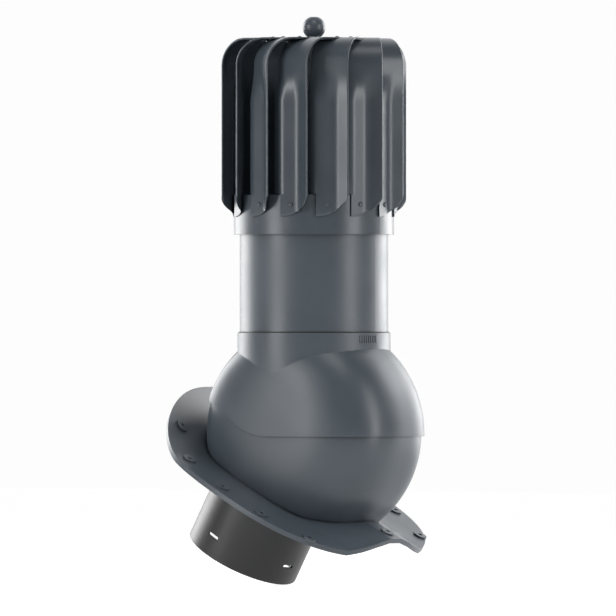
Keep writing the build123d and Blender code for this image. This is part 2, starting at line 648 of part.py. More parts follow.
def blade_section(line):
    """Plan section of a blade: a thin strip inside the given outside line, hemmed at the lip."""
    steps = [(end - start).normalized() for start, end in zip(line, line[1:])]
    inward = [Vector(step.Y, -step.X) for step in steps]
    inside = [line[-1] + inward[-1] * BLADE_THICK]
    for point, before, after in zip(line[-2:0:-1], inward[-2::-1], inward[:0:-1]):
        mitre = (before + after) / (1 + before.dot(after))
        inside.append(point + mitre * BLADE_THICK)
    hem = line[0] + steps[0] * HEM_WIDTH
    depth = inward[0] * (BLADE_THICK + HEM_DEPTH)
    hem_corners = [hem + inward[0] * BLADE_THICK, hem + depth, line[0] + depth]
    return make_face(Polyline(*line, *inside, *hem_corners, close=True))


def curled_line():
    """Outside line of a blade in plan: lip, crease, ring-hugging part, curl and tail."""
    line = [Vector(LIP_R, 0), foot_point(CREASE_FROM_LIP), foot_point(CURL_FROM_LIP)]
    along = line[2] - line[1]
    heading = math.degrees(math.atan2(along.Y, along.X))
    turn = CURL_ANGLE / CURL_STEPS
    chord = 2 * CURL_R * math.sin(math.radians(turn / 2))
    for step in range(CURL_STEPS):
        line.append(line[-1] + polar(chord, heading - turn * (step + 0.5)))
    line.append(line[-1] + polar(CURL_TAIL, heading - CURL_ANGLE))
    return line


def flat_line(back):
    """The same line pulled flat along the given direction, near the top of a blade."""
    curled = curled_line()
    lengths = [(end - start).length for start, end in zip(curled, curled[1:])]
    scale = BLADE_WIDTH / sum(lengths)
    line = [Vector(LIP_R, 0)]
    for length in lengths:
        line.append(line[-1] + back * length * scale)
    return line


def blade_tab(width_start, width_end, start, end, bottom, top):
    """A block in a blade's own frame: width from the lip, length along the bend, height."""
    lip = Plane(origin=(LIP_R, 0, 0), x_dir=-polar(1, 90 - BLADE_ANGLE), z_dir=(0, 0, 1))
    block = Box(width_end - width_start, end - start, top - bottom)
    return lip * Pos((width_start + width_end) / 2, -(start + end) / 2, (bottom + top) / 2) * block


def make_blade():
    """One blade, its lip on +X: a foot on the ring, a creased blade and a bent-over tab."""
    back = -polar(1, 90 - BLADE_ANGLE)
    lip, crease = curled_line()[:2]
    foot = blade_section([lip, crease, foot_point(FOOT_FROM_LIP)])
    curled = blade_section(curled_line())
    flat = blade_section(flat_line(back))
    blade = Pos(0, 0, BLADE_BOTTOM) * extrude(foot, amount=FOOT_TOP - BLADE_BOTTOM)
    blade += Pos(0, 0, FOOT_TOP) * extrude(curled, amount=CURLED_TO - FOOT_TOP)
    blade += loft([Pos(0, 0, CURLED_TO) * curled, Pos(0, 0, FLAT_FROM) * flat], ruled=True)
    blade += Pos(0, 0, FLAT_FROM) * extrude(flat, amount=FLAT_TOP - FLAT_FROM)
    centre = lip + polar(BEND_R, 180 - BLADE_ANGLE)
    hinge = Axis((centre.X, centre.Y, FLAT_TOP), (back.X, back.Y, 0))
    blade += revolve(Pos(0, 0, FLAT_TOP) * flat, hinge, 90)
    tab_end = BEND_R + TAB_LENGTH
    blade += blade_tab(0, BLADE_WIDTH, BEND_R, tab_end, TAB_BOTTOM, BLADE_TOP)
    low = TAB_BOTTOM - TAB_GAP
    neighbour = blade_tab(-TAB_GAP, 2 * BLADE_WIDTH, 0, tab_end + TAB_GAP, low, BLADE_TOP + 1)
    blade -= Rot(0, 0, -BLADE_PITCH) * neighbour
    blade -= foot_round()
    blade -= Rot(0, 0, -RIVET_FROM_LIP) * lower_rivet_place() * rivet_hole()
    blade -= Rot(0, 0, UPPER_RIVET_ANGLE) * Pos(RIVET_CIRCLE_R, 0, TAB_BOTTOM) * rivet_hole()
    return blade


def foot_point(angle):
    """A point on the outside of a blade's foot, which lies flat against the ring at its rivet."""
    lean = math.radians(angle - RIVET_FROM_LIP)
    return polar((RING_R + SEAT_GAP + BLADE_THICK) / math.cos(lean), -angle)


def foot_round():
    """What is cut from the foot of a blade so that its bottom edge sweeps up to the lip."""
    high, wide = FOOT_ROUND_HEIGHT, FOOT_ROUND_WIDTH
    block = Pos(wide, 0) * Rectangle(2 * wide, 2 * high) - Ellipse(wide, high)
    block = Pos(-wide, BLADE_BOTTOM + high) * (block & Pos(wide, -high) * Rectangle(2 * wide, 2 * high))
    return extrude(Plane.YZ * block, amount=2 * LIP_R)


def make_knob():
    """Ball knob with a flattened top, a short neck and the stud that screws into the hub."""
    centre = KNOB_TOP - KNOB_R * KNOB_ROUND
    knob = Pos(0, 0, centre) * Sphere(KNOB_R) & rod(2 * KNOB_R, TAB_BOTTOM, KNOB_TOP)
    knob += rod(KNOB_NECK_R, TAB_BOTTOM, centre)
    knob += rod(KNOB_STUD_R, HUB_TOP - KNOB_STUD_LENGTH, centre)
    return knob


def make_hub_screws():
    """Screws that hold the hub under the top plate."""
    head = rod(HUB_SCREW_HEAD_R, 0, HUB_SCREW_HEAD)
    head = chamfer(head.edges().sort_by(Axis.Z)[-1], HUB_SCREW_HEAD / 3)
    screw = head + rod(HUB_SCREW_R, -PLATE_THICK - HUB_FLANGE_THICK - RIVET_TAIL, 0)
    return around(HUB_SCREWS, HUB_SCREW_TURN, Pos(HUB_SCREW_CIRCLE_R, 0, TAB_BOTTOM) * screw)


def make_spigot_screws():
    """Screws that hold the spigot's lip and its seal down on the flashing."""
    head = rod(SPIGOT_SCREW_HEAD_R, 0, SPIGOT_SCREW_HEAD)
    head = chamfer(head.edges().sort_by(Axis.Z)[-1], SPIGOT_SCREW_HEAD / 3)
    screw = head + rod(SPIGOT_SCREW_R, -SPIGOT_LIP_THICK - SEAL_HEIGHT, 0)
    place = Pos(SPIGOT_SCREW_CIRCLE_R, 0, -FLANGE_DROP + SEAL_HEIGHT + SPIGOT_LIP_THICK) * screw
    screws = around(SPIGOT_SCREWS, SPIGOT_SCREW_TURN, place)
    return [to_roof(Pos(-SPIGOT_OFFSET, 0, 0) * screw) for screw in screws]


def write(name, shape):
    """Write one node, moved to the model's origin."""
    solids = shape if isinstance(shape, list) else [shape]
    group = Compound(children=[Location(SWIVEL) * solid for piece in solids for solid in piece.solids()])
    group.label = name
    export_step(group, os.path.join("parts", name + ".step"))


def main():
    """Build every node and write it."""
    os.makedirs("parts", exist_ok=True)
    write("base_flashing", make_flashing())
    write("duct_spigot", make_spigot())
    write("spigot_seal", make_spigot_seal())
    write("spigot_screws", make_spigot_screws())
    write("upper_hood", make_upper_hood())
    write("pivot_clasps", make_pivot_clasps())
    write("riser_pipe", make_riser())
    write("riser_seal", make_riser_seal())
    write("bearing_bracket", make_spider())
    write("bracket_rivets", make_spider_rivets())
    write("shaft", make_shaft())
    write("shaft_nut", make_shaft_nut())
    write("shaft_clip", make_shaft_clip())
    write("inner_spacer", make_inner_spacer())
    for name, bottom in (("lower", LOWER_BEARING_Z), ("upper", UPPER_BEARING_Z)):
        write(name + "_bearing_inner_race", make_inner_race(bottom))
        write(name + "_bearing_outer_race", make_outer_race(bottom))
        write(name + "_bearing_balls", make_balls(bottom))
    write("bearing_hub", make_hub())
    write("top_plate", make_top_plate())
    write("hub_screws", make_hub_screws())
    write("ball_knob", make_knob())
    write("rotor_ring", make_ring())
    write("upper_blade_rivets", make_upper_rivets())
    write("lower_blade_rivets", make_lower_rivets())
    blade = make_blade()
    for number in range(BLADES):
        turned = Rot(0, 0, FIRST_LIP + number * BLADE_PITCH) * blade
        write("blade_%02d" % (number + 1), turned)


main()
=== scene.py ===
import json
import math

import bpy
import bmesh
from mathutils import Matrix, Vector


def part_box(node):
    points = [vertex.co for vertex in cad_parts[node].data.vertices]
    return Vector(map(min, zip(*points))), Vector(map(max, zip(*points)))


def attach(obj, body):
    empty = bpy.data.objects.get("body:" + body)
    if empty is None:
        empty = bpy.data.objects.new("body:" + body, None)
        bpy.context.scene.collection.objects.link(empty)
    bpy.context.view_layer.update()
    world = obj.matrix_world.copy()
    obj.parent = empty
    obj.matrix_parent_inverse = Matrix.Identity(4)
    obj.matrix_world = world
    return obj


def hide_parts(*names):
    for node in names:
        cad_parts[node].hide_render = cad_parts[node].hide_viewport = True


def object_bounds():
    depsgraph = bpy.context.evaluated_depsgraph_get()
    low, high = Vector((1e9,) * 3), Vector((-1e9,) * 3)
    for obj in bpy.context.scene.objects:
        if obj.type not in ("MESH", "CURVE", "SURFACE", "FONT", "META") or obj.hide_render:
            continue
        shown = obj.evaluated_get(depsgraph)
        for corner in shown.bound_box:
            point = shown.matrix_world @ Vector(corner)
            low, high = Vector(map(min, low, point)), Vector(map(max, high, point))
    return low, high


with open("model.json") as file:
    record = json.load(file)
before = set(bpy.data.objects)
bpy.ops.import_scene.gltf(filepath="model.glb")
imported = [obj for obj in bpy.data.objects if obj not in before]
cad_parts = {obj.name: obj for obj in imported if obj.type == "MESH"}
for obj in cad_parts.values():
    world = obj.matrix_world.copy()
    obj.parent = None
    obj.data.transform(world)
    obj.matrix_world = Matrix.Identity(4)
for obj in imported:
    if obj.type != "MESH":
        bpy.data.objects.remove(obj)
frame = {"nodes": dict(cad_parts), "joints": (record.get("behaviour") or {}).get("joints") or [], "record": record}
cad_low, cad_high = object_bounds()
nodes = frame["nodes"]

MM = 0.001
MERGE = 0.001 * MM                   # points nearer than this are one
SHARP_ANGLE = 50.0                   # edges that turn by more than this are softened


# ---- sizes and places: lengths in metres, angles in degrees ----
def joint_place(name):
    """Where a joint's axis passes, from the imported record."""
    return Vector(next(joint["pos_m"] for joint in frame["joints"] if joint["name"] == name))


SWIVEL = joint_place("roof_pitch")   # where the riser axis crosses the swivel axis
RISER_AXIS = (SWIVEL.x, SWIVEL.y, 0.0)       # the upright axes, as points at height 0
ROTOR_AXIS = (*joint_place("rotor_spin").xy, 0.0)
RING_LOW, RING_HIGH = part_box("rotor_ring")
BLADE_LOW, BLADE_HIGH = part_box("blade_01")
RING_R = (RING_HIGH.x - RING_LOW.x) / 2

# ---- hood ----
HOOD_R = 122.5 * MM                  # about the swivel axis
HOOD_HALF_WIDTH = 86.4 * MM
SKIN_REACH = (1.012, 1.035)          # past the skin, the reaches between which its eased normal fades out
SKIN_AGREES = (0.86, 0.96)           # cosines to the surface's own normal between which it fades in

# ---- turbine blades ----
BLADES = 14
BLADE_PITCH = 360.0 / BLADES
FIRST_LIP = -60.0                    # from +X to the first blade's lip
LIP_R = 101.0 * MM
BLADE_WIDTH = 42.0 * MM
BLADE_ANGLE = 41.0                   # between the flat blade and the tangent at its lip
BLADE_THICK = 1.0 * MM
BLADE_EDGE = 0.25 * MM
SEAT_GAP = 0.03 * MM
FOOT_R = RING_R + SEAT_GAP + BLADE_THICK     # outside of a foot at its rivet
HEM_WIDTH = 2.6 * MM                 # the lip is folded back on itself
HEM_DEPTH = 1.1 * MM
HEM_SLOPE = 0.66 * MM                # how far the hem's edge runs out along the blade
CREASE_FROM_LIP = 6.4                # from the lip to the crease, the rivet and the foot's edge
RIVET_FROM_LIP = 12.0
FOOT_FROM_LIP = 19.75
CREASE_RUN = 5.0 * MM                # length over which the crease turns, to each side
CURL_FROM_LIP = 16.5                 # here the blade leaves the ring's round and curls in
CURL_R = 13.0 * MM
CURL_ANGLE = 50.0
CURL_TAIL = 6.0 * MM
FOOT_TOP = RING_HIGH.z + 0.3 * MM    # below this the blade ends on the ring
CURL_FULL = RING_HIGH.z + 1.5 * MM   # from here up its edge is curled in
CURLED_TO = RING_HIGH.z + 98.0 * MM
FLAT_FROM = RING_HIGH.z + 136.0 * MM
FOOT_ROUND_WIDTH = 28.0 * MM
FOOT_ROUND_HEIGHT = 22.0 * MM
BEND_R = 30.0 * MM                   # the top of the blade bends in over the plate
BEND_START = BLADE_HIGH.z - BEND_R
TAB_LENGTH = 24.0 * MM
TAB_GAP = 0.6 * MM
CUTTER_RISE = 10.0 * MM              # how far the tabs' cutter stands above the blades

# how finely a blade is drawn: steps along its section, then rows of faces from the foot up
STRETCH_STEPS = 6
TAIL_STEPS = 3
HEM_STEPS = 6
FOOT_ROWS = 6
WALL_ROWS = (  # of each stretch: lower height, upper height and rows
    (FOOT_TOP, CURL_FULL, 3),
    (CURL_FULL, CURLED_TO, 4),
    (CURLED_TO, FLAT_FROM, 16),
)
BEND_ROWS = 16
TAB_ROWS = 4

# ---- rivets ----
RIVET_R = 2.7 * MM
RIVET_HEAD = 1.7 * MM
RIVET_SKIRT = 0.204 * MM
RIVET_SUNK = 0.3 * MM                # how far the head reaches into the sheet
DOME_R = 2.511 * MM
DOME_FOOT = 0.306 * MM               # where the dome rises from the skirt
DOME_STEPS = 7                       # from its crown to its foot
DOME_OPEN = 2                        # steps at the crown that the mandrel's hole takes
RIVET_SEGMENTS = 28
MANDREL_R = 0.95 * MM
MANDREL_FLOOR = 0.425 * MM
RIVET_CIRCLE_R = 46.6 * MM
UPPER_RIVET_ANGLE = 11.1
LOWER_RIVET_Z = SWIVEL.z + 245.5 * MM

# ---- details of the hood's socket ----
SOCKET_R = 82.6 * MM
SOCKET_RIM = SWIVEL.z + 108.0 * MM
RIBS = 9
RIB_FIRST = -18.5                    # from +X to the first rib
RIB_STEP = 2.1
RIB_SIZE = (1.4 * MM, 1.5 * MM, 7.6 * MM)
RIB_DROP = 6.9 * MM                  # from the rim to the ribs' middle
RIB_EDGE = 0.3 * MM
LUGS = 11
LUG_FIRST = -31.0                    # from +X to the first lug
LUG_STEP = 3.7
LUG_SIZE = (1.6 * MM, 2.8 * MM, 0.9 * MM)

# ---- surfaces ----
DRIFT = 45.0 * MM                    # breadth of the slow drift between a surface's two shades
GLOSS_SPREAD = 0.04
PAINTED_SHADE_REACH = 4.0 * MM                   # how near a neighbour must be for the painted shade of a crevice to gather
PAINTED_CREVICE_SHADE = "#08090a"

# ---- camera and studio ----
CAMERA_TURN = 34.7                   # round from straight across the slope
CAMERA_RISE = 0.0
CAMERA_DISTANCE = 14.0
SENSOR_MM = 36.0
VIEW_PIXELS = 616                    # along each side of the image
PIXEL = 1.0767 * MM                  # what one pixel spans at the object
SWIVEL_PIXEL = (314.0, 433.0)        # the swivel's middle in the image, from its upper left corner
FLOOR_REACH = 6.0
FLOOR_DROP = 0.5 * MM
FLOOR_GLOW = 0.8
LAMPS = (  # name, angle round from the camera, angle up, distance, width, height and watts
    ("left_softbox", -57, 8, 1.9, 0.6, 1.8, 24),
    ("right_softbox", 58, 8, 1.9, 0.55, 1.8, 20),
    ("left_rim", -132, 0, 1.9, 1.1, 2.2, 42),
    ("right_rim", 130, 0, 1.9, 1.1, 2.2, 48),
    ("top_softbox", 0, 66, 2.2, 1.0, 1.0, 10),
)


# ---- helpers for colours, nodes and numbers ----
def srgb(code):
    """A hex colour as linear red, green, blue and alpha."""
    parts = [int(code[i:i + 2], 16) / 255 for i in (1, 3, 5)]
    linear = [c / 12.92 if c <= 0.04045 else ((c + 0.055) / 1.055) ** 2.4 for c in parts]
    return (*linear, 1.0)


def empty_tree(owner):
    """The node tree of a new material or world, with nothing in it."""
    owner.use_nodes = True
    owner.node_tree.nodes.clear()
    return owner.node_tree


def add_node(tree, kind, settings=None, inputs=None):
    """Add a node to a tree with its settings and its inputs, each a value or an output socket."""
    node = tree.nodes.new(kind)
    for name, value in (settings or {}).items():
        setattr(node, name, value)
    for name, value in (inputs or {}).items():
        socket = node.inputs[name]
        if isinstance(value, bpy.types.NodeSocket):
            tree.links.new(value, socket)
        else:
            socket.default_value = value
    return node


def polar(radius, angle):
    """A point in plan from its radius and its angle in degrees."""
    return Vector((radius * math.cos(math.radians(angle)), radius * math.sin(math.radians(angle))))


def clamped(value):
    """The value kept between 0 and 1."""
    return min(max(value, 0.0), 1.0)


def eased(value):
    """A smooth step from 0 to 1."""
    value = clamped(value)
    return value * value * (3 - 2 * value)


# ---- helpers for meshes ----
def mesh_object(name, points, faces, smooth=True):
    """A mesh object with its faces turned outwards."""
    mesh = bpy.data.meshes.new(name)
    mesh.from_pydata([tuple(point) for point in points], [], faces)
    work = bmesh.new()
    work.from_mesh(mesh)
    bmesh.ops.remove_doubles(work, verts=work.verts, dist=MERGE)
    bmesh.ops.recalc_face_normals(work, faces=work.faces)
    for face in work.faces:
        face.smooth = smooth
    work.to_mesh(mesh)
    work.free()
    thing = bpy.data.objects.new(name, mesh)
    bpy.context.scene.collection.objects.link(thing)
    return thing


def skinned(name, rows, capped=True, smooth=True):
    """A mesh object whose skin joins closed rows of points, each row with as many points."""
    count = len(rows[0])
    last = count * (len(rows) - 1)
    faces = []
    for start in range(0, last, count):
        for step in range(count):
            right = (step + 1) % count
            faces.append((start + step, start + right, start + count + right, start + count + step))
    if capped:
        faces += [tuple(range(count)), tuple(range(last, last + count))]
    return mesh_object(name, [point for row in rows for point in row], faces, smooth)


def lathe(name, profile, segments):
    """A round piece about +Z from (radius, height) points, the first and last on the axis."""
    rows = []
    for radius, height in profile:
        ring = [polar(radius, 360 * step / segments) for step in range(segments)]
        rows.append([(point.x, point.y, height) for point in ring])
    return skinned(name, rows, capped=False)


def prism(name, outline, low, high):
    """A flat outline in plan, raised from one height to another."""
    return skinned(name, [[(x, y, height) for x, y in outline] for height in (low, high)], smooth=False)


def block(name, size, place):
    """A small box of the given size with its middle at a place."""
    near, far = (Vector(place) + side * Vector(size) for side in (-0.5, 0.5))
    outline = [(near.x, near.y), (far.x, near.y), (far.x, far.y), (near.x, far.y)]
    return prism(name, outline, near.z, far.z)


def soften(thing, width):
    """Round the sharp edges of a piece by a small width."""
    edges = thing.modifiers.new("edges", "BEVEL")
    edges.width = width
    edges.segments = 2
    edges.limit_method = "ANGLE"
    edges.angle_limit = math.radians(SHARP_ANGLE)


def finished(source, name):
    """A plain mesh object of an object with its modifiers applied; the source is removed."""
    bpy.context.view_layer.update()
    graph = bpy.context.evaluated_depsgraph_get()
    mesh = bpy.data.meshes.new_from_object(source.evaluated_get(graph), depsgraph=graph)
    thing = bpy.data.objects.new(name, mesh)
    bpy.context.scene.collection.objects.link(thing)
    bpy.data.objects.remove(source)
    return thing


# ---- pieces repeated around an upright axis ----
RING_INPUTS = {
    "Piece": "NodeSocketObject",
    "Count": "NodeSocketInt",
    "First Angle": "NodeSocketFloat",
    "Step Angle": "NodeSocketFloat",
    "Centre": "NodeSocketVector",
}


def ring_tree(name, material):
    """Geometry nodes that repeat a piece around an axis, and the identifiers of their inputs."""
    tree = bpy.data.node_groups.new(name, "GeometryNodeTree")
    tree.is_modifier = True
    tree.interface.new_socket("Geometry", in_out="OUTPUT", socket_type="NodeSocketGeometry")
    keys = {}
    for label, kind in RING_INPUTS.items():
        keys[label] = tree.interface.new_socket(label, in_out="INPUT", socket_type=kind).identifier
    asked = add_node(tree, "NodeGroupInput").outputs
    points = add_node(tree, "GeometryNodePoints", None,
                      {"Count": asked["Count"], "Position": asked["Centre"]})
    index = add_node(tree, "GeometryNodeInputIndex")
    angle = add_node(tree, "ShaderNodeMath", {"operation": "MULTIPLY_ADD"},
                     {0: index.outputs[0], 1: asked["Step Angle"], 2: asked["First Angle"]})
    turn = add_node(tree, "ShaderNodeCombineXYZ", None, {"Z": angle.outputs[0]})
    source = add_node(tree, "GeometryNodeObjectInfo", None, {"Object": asked["Piece"]})
    placed = add_node(tree, "GeometryNodeInstanceOnPoints", None,
                      {"Points": points.outputs[0], "Instance": source.outputs["Geometry"],
                       "Rotation": turn.outputs[0]})
    real = add_node(tree, "GeometryNodeRealizeInstances", None, {"Geometry": placed.outputs[0]})
    coated = add_node(tree, "GeometryNodeSetMaterial", None,
                      {"Geometry": real.outputs[0], "Material": material})
    add_node(tree, "NodeGroupOutput", None, {"Geometry": coated.outputs[0]})
    return tree, keys


def repeated(name, piece, material, count, first, step, centre):
    """A plain mesh of one piece repeated around an upright axis."""
    tree, keys = ring_tree(name + "_ring", material)
    host = bpy.data.objects.new(name + "_host", bpy.data.meshes.new(name + "_host"))
    bpy.context.scene.collection.objects.link(host)
    modifier = host.modifiers.new("ring", "NODES")
    modifier.node_group = tree
    values = {"Piece": piece, "Count": count, "First Angle": math.radians(first),
              "Step Angle": math.radians(step), "Centre": centre}
    for label, value in values.items():
        modifier[keys[label]] = value
    thing = finished(host, name)
    bpy.data.objects.remove(piece)
    return thing


# ---- materials ----
def eased_hood_normal(tree, place, normal):
    """On the hood's skin a normal that turns evenly from cheek to crown; elsewhere the given one.

    A point's reach is the cube of its distance from the swivel axis plus the cube of its distance
    along that axis, each as a share of the hood's own, and is about 1 on the skin.
    """
    vector = "ShaderNodeVectorMath"
    spans = (HOOD_R, HOOD_HALF_WIDTH, HOOD_R)
    offset = add_node(tree, vector, {"operation": "SUBTRACT"}, {0: place, 1: SWIVEL}).outputs[0]
    share = add_node(tree, vector, {"operation": "DIVIDE"}, {0: offset, 1: spans}).outputs[0]
    outward = add_node(tree, vector, {"operation": "MULTIPLY"}, {0: share, 1: (1, 0, 1)}).outputs[0]
    radial = add_node(tree, vector, {"operation": "LENGTH"}, {0: outward}).outputs["Value"]
    sideways = add_node(tree, vector, {"operation": "MULTIPLY"}, {0: share, 1: (0, 1, 0)}).outputs[0]
    across = add_node(tree, vector, {"operation": "LENGTH"}, {0: sideways}).outputs["Value"]
    lengths = add_node(tree, "ShaderNodeCombineXYZ", None, {"X": radial, "Y": across, "Z": radial}).outputs[0]
    slope = add_node(tree, vector, {"operation": "MULTIPLY"}, {0: share, 1: lengths}).outputs[0]
    reach = add_node(tree, vector, {"operation": "DOT_PRODUCT"}, {0: share, 1: slope}).outputs["Value"]
    way = add_node(tree, vector, {"operation": "DIVIDE"}, {0: slope, 1: spans}).outputs[0]
    turned = add_node(tree, "ShaderNodeVectorTransform",
                      {"vector_type": "NORMAL", "convert_from": "OBJECT", "convert_to": "WORLD"},
                      {0: way}).outputs[0]
    unit = add_node(tree, vector, {"operation": "NORMALIZE"}, {0: turned}).outputs[0]
    agrees = add_node(tree, vector, {"operation": "DOT_PRODUCT"}, {0: unit, 1: normal}).outputs["Value"]
    skin = add_node(tree, "ShaderNodeMapRange", {"interpolation_type": "SMOOTHSTEP"},
                    {"Value": reach, "From Min": SKIN_REACH[0], "From Max": SKIN_REACH[1],
                     "To Min": 1.0, "To Max": 0.0}).outputs[0]
    weight = add_node(tree, "ShaderNodeMapRange", {"interpolation_type": "SMOOTHSTEP"},
                      {"Value": agrees, "From Min": SKIN_AGREES[0], "From Max": SKIN_AGREES[1],
                       "To Min": 0.0, "To Max": skin}).outputs[0]
    return add_node(tree, "ShaderNodeMix", {"data_type": "VECTOR"},
                    {0: weight, 4: normal, 5: unit}).outputs[1]


def moulded(name, low, high, rough, grain, depth, edge, metallic=0.0, hood=False):
    """A satin surface: a slow drift between two tones, a fine grain, softened edges and painted shade that darkens
    its crevices.
    """
    material = bpy.data.materials.new(name)
    tree = empty_tree(material)
    place = add_node(tree, "ShaderNodeTexCoord").outputs["Object"]
    drift = add_node(tree, "ShaderNodeTexNoise", None,
                     {"Vector": place, "Scale": 1 / DRIFT, "Detail": 3.0, "Roughness": 0.5})
    grains = add_node(tree, "ShaderNodeTexNoise", None,
                      {"Vector": place, "Scale": 1 / grain, "Detail": 4.0, "Roughness": 0.6})
    shade = add_node(tree, "ShaderNodeMix", {"data_type": "RGBA"},
                     {0: drift.outputs["Fac"], 6: srgb(low), 7: srgb(high)})
    # painted shade: where neighbours are near, as in gaps and round bosses and rivets, the colour is darkened
    # towards a near black
    open_air = add_node(tree, "ShaderNodeAmbientOcclusion", {"samples": 8}, {"Distance": PAINTED_SHADE_REACH})
    unshaded = add_node(tree, "ShaderNodeMapRange", None,
                     {"Value": open_air.outputs["AO"], "From Min": 0.35, "From Max": 0.85,
                      "To Min": 0.25, "To Max": 1.0})
    shade = add_node(tree, "ShaderNodeMix", {"data_type": "RGBA"},
                     {0: unshaded.outputs[0], 6: srgb(PAINTED_CREVICE_SHADE), 7: shade.outputs[2]})
    gloss = add_node(tree, "ShaderNodeMapRange", None,
                     {"Value": drift.outputs["Fac"], "From Min": 0.3, "From Max": 0.7,
                      "To Min": rough - GLOSS_SPREAD, "To Max": rough + GLOSS_SPREAD})
    normal = add_node(tree, "ShaderNodeBevel", {"samples": 4}, {"Radius": edge}).outputs["Normal"]
    if hood:
        normal = eased_hood_normal(tree, place, normal)
    bump = add_node(tree, "ShaderNodeBump", None,
                    {"Height": grains.outputs["Fac"], "Strength": 1.0, "Distance": depth, "Normal": normal})
    shader = add_node(tree, "ShaderNodeBsdfPrincipled", None,
                      {"Base Color": shade.outputs[2], "Roughness": gloss.outputs["Result"],
                       "Metallic": metallic, "Normal": bump.outputs["Normal"]})
    add_node(tree, "ShaderNodeOutputMaterial", None, {"Surface": shader.outputs["BSDF"]})
    return material


# Moulded polypropylene for hoods, flashing and riser: a fine matt grain from the mould and soft edges.
slate_plastic = moulded("moulded_polypropylene_slate", "#3f474e", "#474f57", rough=0.38,
                        grain=0.9 * MM, depth=0.012 * MM, edge=0.5 * MM, hood=True)
# Powder coat on sheet steel: slightly glossier, with the shallow orange peel of a baked powder.
slate_coating = moulded("powder_coated_steel_slate", "#3a4249", "#424a51", rough=0.33,
                        grain=1.6 * MM, depth=0.015 * MM, edge=0.25 * MM)
# The spigot's black polypropylene, a little duller.
black_plastic = moulded("moulded_polypropylene_black", "#18181a", "#1f1f21", rough=0.42,
                        grain=0.9 * MM, depth=0.012 * MM, edge=0.5 * MM)
# Rubber of the seals: dull and dark.
seal_rubber = moulded("moulded_epdm_rubber", "#151515", "#1c1c1c", rough=0.7,
                      grain=0.7 * MM, depth=0.01 * MM, edge=0.3 * MM)
# Die-cast aluminium of bracket and hub: a grey satin skin.
cast_aluminium = moulded("die_cast_aluminium", "#a4a7aa", "#b2b4b6", rough=0.45,
                         grain=1.2 * MM, depth=0.02 * MM, edge=0.4 * MM, metallic=1.0)
# Ground bearing steel of shaft, races and balls: bright and nearly smooth.
bearing_steel = moulded("ground_bearing_steel", "#b6b8ba", "#c3c5c6", rough=0.2,
                        grain=0.6 * MM, depth=0.002 * MM, edge=0.15 * MM, metallic=1.0)
# Zinc plating on screws, nut and clasps: pale with a slight unevenness.
zinc_steel = moulded("zinc_plated_steel", "#b4b7ba", "#c4c7c8", rough=0.32,
                     grain=0.8 * MM, depth=0.006 * MM, edge=0.2 * MM, metallic=1.0)

FINISHES = {
    "slate_plastic": slate_plastic,
    "slate_coating": slate_coating,
    "black_plastic": black_plastic,
    "seal_rubber": seal_rubber,
    "cast_aluminium": cast_aluminium,
    "bearing_steel": bearing_steel,
    "zinc_steel": zinc_steel,
}


def coat_nodes():
    """Give every node of the part the finish of its slot."""
    for part in frame["record"]["subparts"]:
        node = nodes[part["node"]]
        node.data.materials.clear()
        node.data.materials.append(FINISHES[part["material_slot"]])


# ---- a blade's section, in plan with its lip on +X ----
LIP = Vector((LIP_R, 0))
BACK = -polar(1, 90 - BLADE_ANGLE)       # from the lip along the flat blade
INWARD = polar(1, 180 - BLADE_ANGLE)     # square to it, towards the rotor's middle


def foot_point(angle):
    """A point on the outside of a blade's foot, which lies flat against the ring at its rivet."""
    lean = math.radians(angle - RIVET_FROM_LIP)
    return polar(FOOT_R / math.cos(lean), -angle)


def curled_line():
    """The blade's outside: lip, soft crease, the part along the ring, curl and tail."""
    crease, curl = foot_point(CREASE_FROM_LIP), foot_point(CURL_FROM_LIP)
    before = crease + (LIP - crease).normalized() * CREASE_RUN
    after = crease + (curl - crease).normalized() * CREASE_RUN
    line = [LIP.lerp(before, step / STRETCH_STEPS) for step in range(STRETCH_STEPS)]
    for step in range(STRETCH_STEPS + 1):
        turn = step / STRETCH_STEPS
        line.append(before.lerp(crease, turn).lerp(crease.lerp(after, turn), turn))
    line += [after.lerp(curl, step / STRETCH_STEPS) for step in range(1, STRETCH_STEPS + 1)]
    along = curl - crease
    heading = math.degrees(math.atan2(along.y, along.x))
    turn = CURL_ANGLE / STRETCH_STEPS
    for step in range(STRETCH_STEPS):
        line.append(line[-1] + polar(CURL_R * math.radians(turn), heading - turn * (step + 0.5)))
    tail = line[-1] + polar(CURL_TAIL, heading - CURL_ANGLE)
    return line + [line[-1].lerp(tail, step / TAIL_STEPS) for step in range(1, TAIL_STEPS + 1)]


def foot_line(curled):
    """The same line below the ring's top, where the blade runs straight on to the foot's edge."""
    bent = STRETCH_STEPS + TAIL_STEPS
    line = curled[:-bent]
    edge = foot_point(FOOT_FROM_LIP)
    return line + [line[-1].lerp(edge, step / bent) for step in range(1, bent + 1)]


def flat_line(curled):
    """The same line pulled flat, near the top of the blade."""
    lengths = [(end - start).length for start, end in zip(curled, curled[1:])]
    line, scale = [LIP], BLADE_WIDTH / sum(lengths)
    for length in lengths:
        line.append(line[-1] + BACK * length * scale)
    return line


CURLED_LINE = curled_line()
FOOT_LINE = foot_line(CURLED_LINE)
FLAT_LINE = flat_line(CURLED_LINE)


def blade_line(height):
    """The blade's outside at a height."""
    curled = eased((height - FOOT_TOP) / (CURL_FULL - FOOT_TOP))
    opened = eased((height - CURLED_TO) / (FLAT_FROM - CURLED_TO))
    return [foot.lerp(bent, curled).lerp(flat, opened)
            for foot, bent, flat in zip(FOOT_LINE, CURLED_LINE, FLAT_LINE)]


